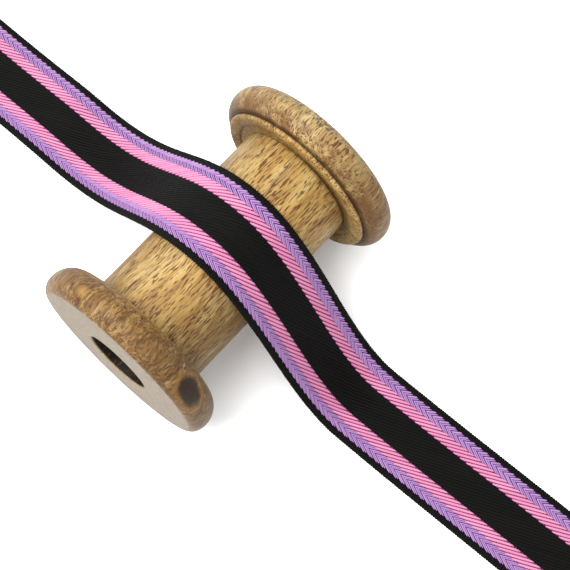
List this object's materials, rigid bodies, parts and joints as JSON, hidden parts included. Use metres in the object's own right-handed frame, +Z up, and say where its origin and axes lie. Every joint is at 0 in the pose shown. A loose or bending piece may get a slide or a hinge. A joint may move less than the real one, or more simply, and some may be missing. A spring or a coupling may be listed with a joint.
{
  "type": "striped woven ribbon draped over a turned wooden spool",
  "caption": "Cut length of black, pink and purple striped ribbon lying over the core of a small turned wooden spool and down to the table on both sides",
  "frame": {"origin": "on the table under the middle of the spool, at the bottom centre of the bounding box", "axes": "+X along the ribbon, +Y along the spool's axis, +Z up"},
  "size_m": [0.27, 0.079, 0.0558],
  "materials": {
    "ribbon_cloth": "matte",
    "spool_wood": "satin"
  },
  "bodies": {
    "root": {"ribbon": "ribbon_cloth", "spool": "spool_wood"}
  },
  "joints": []
}
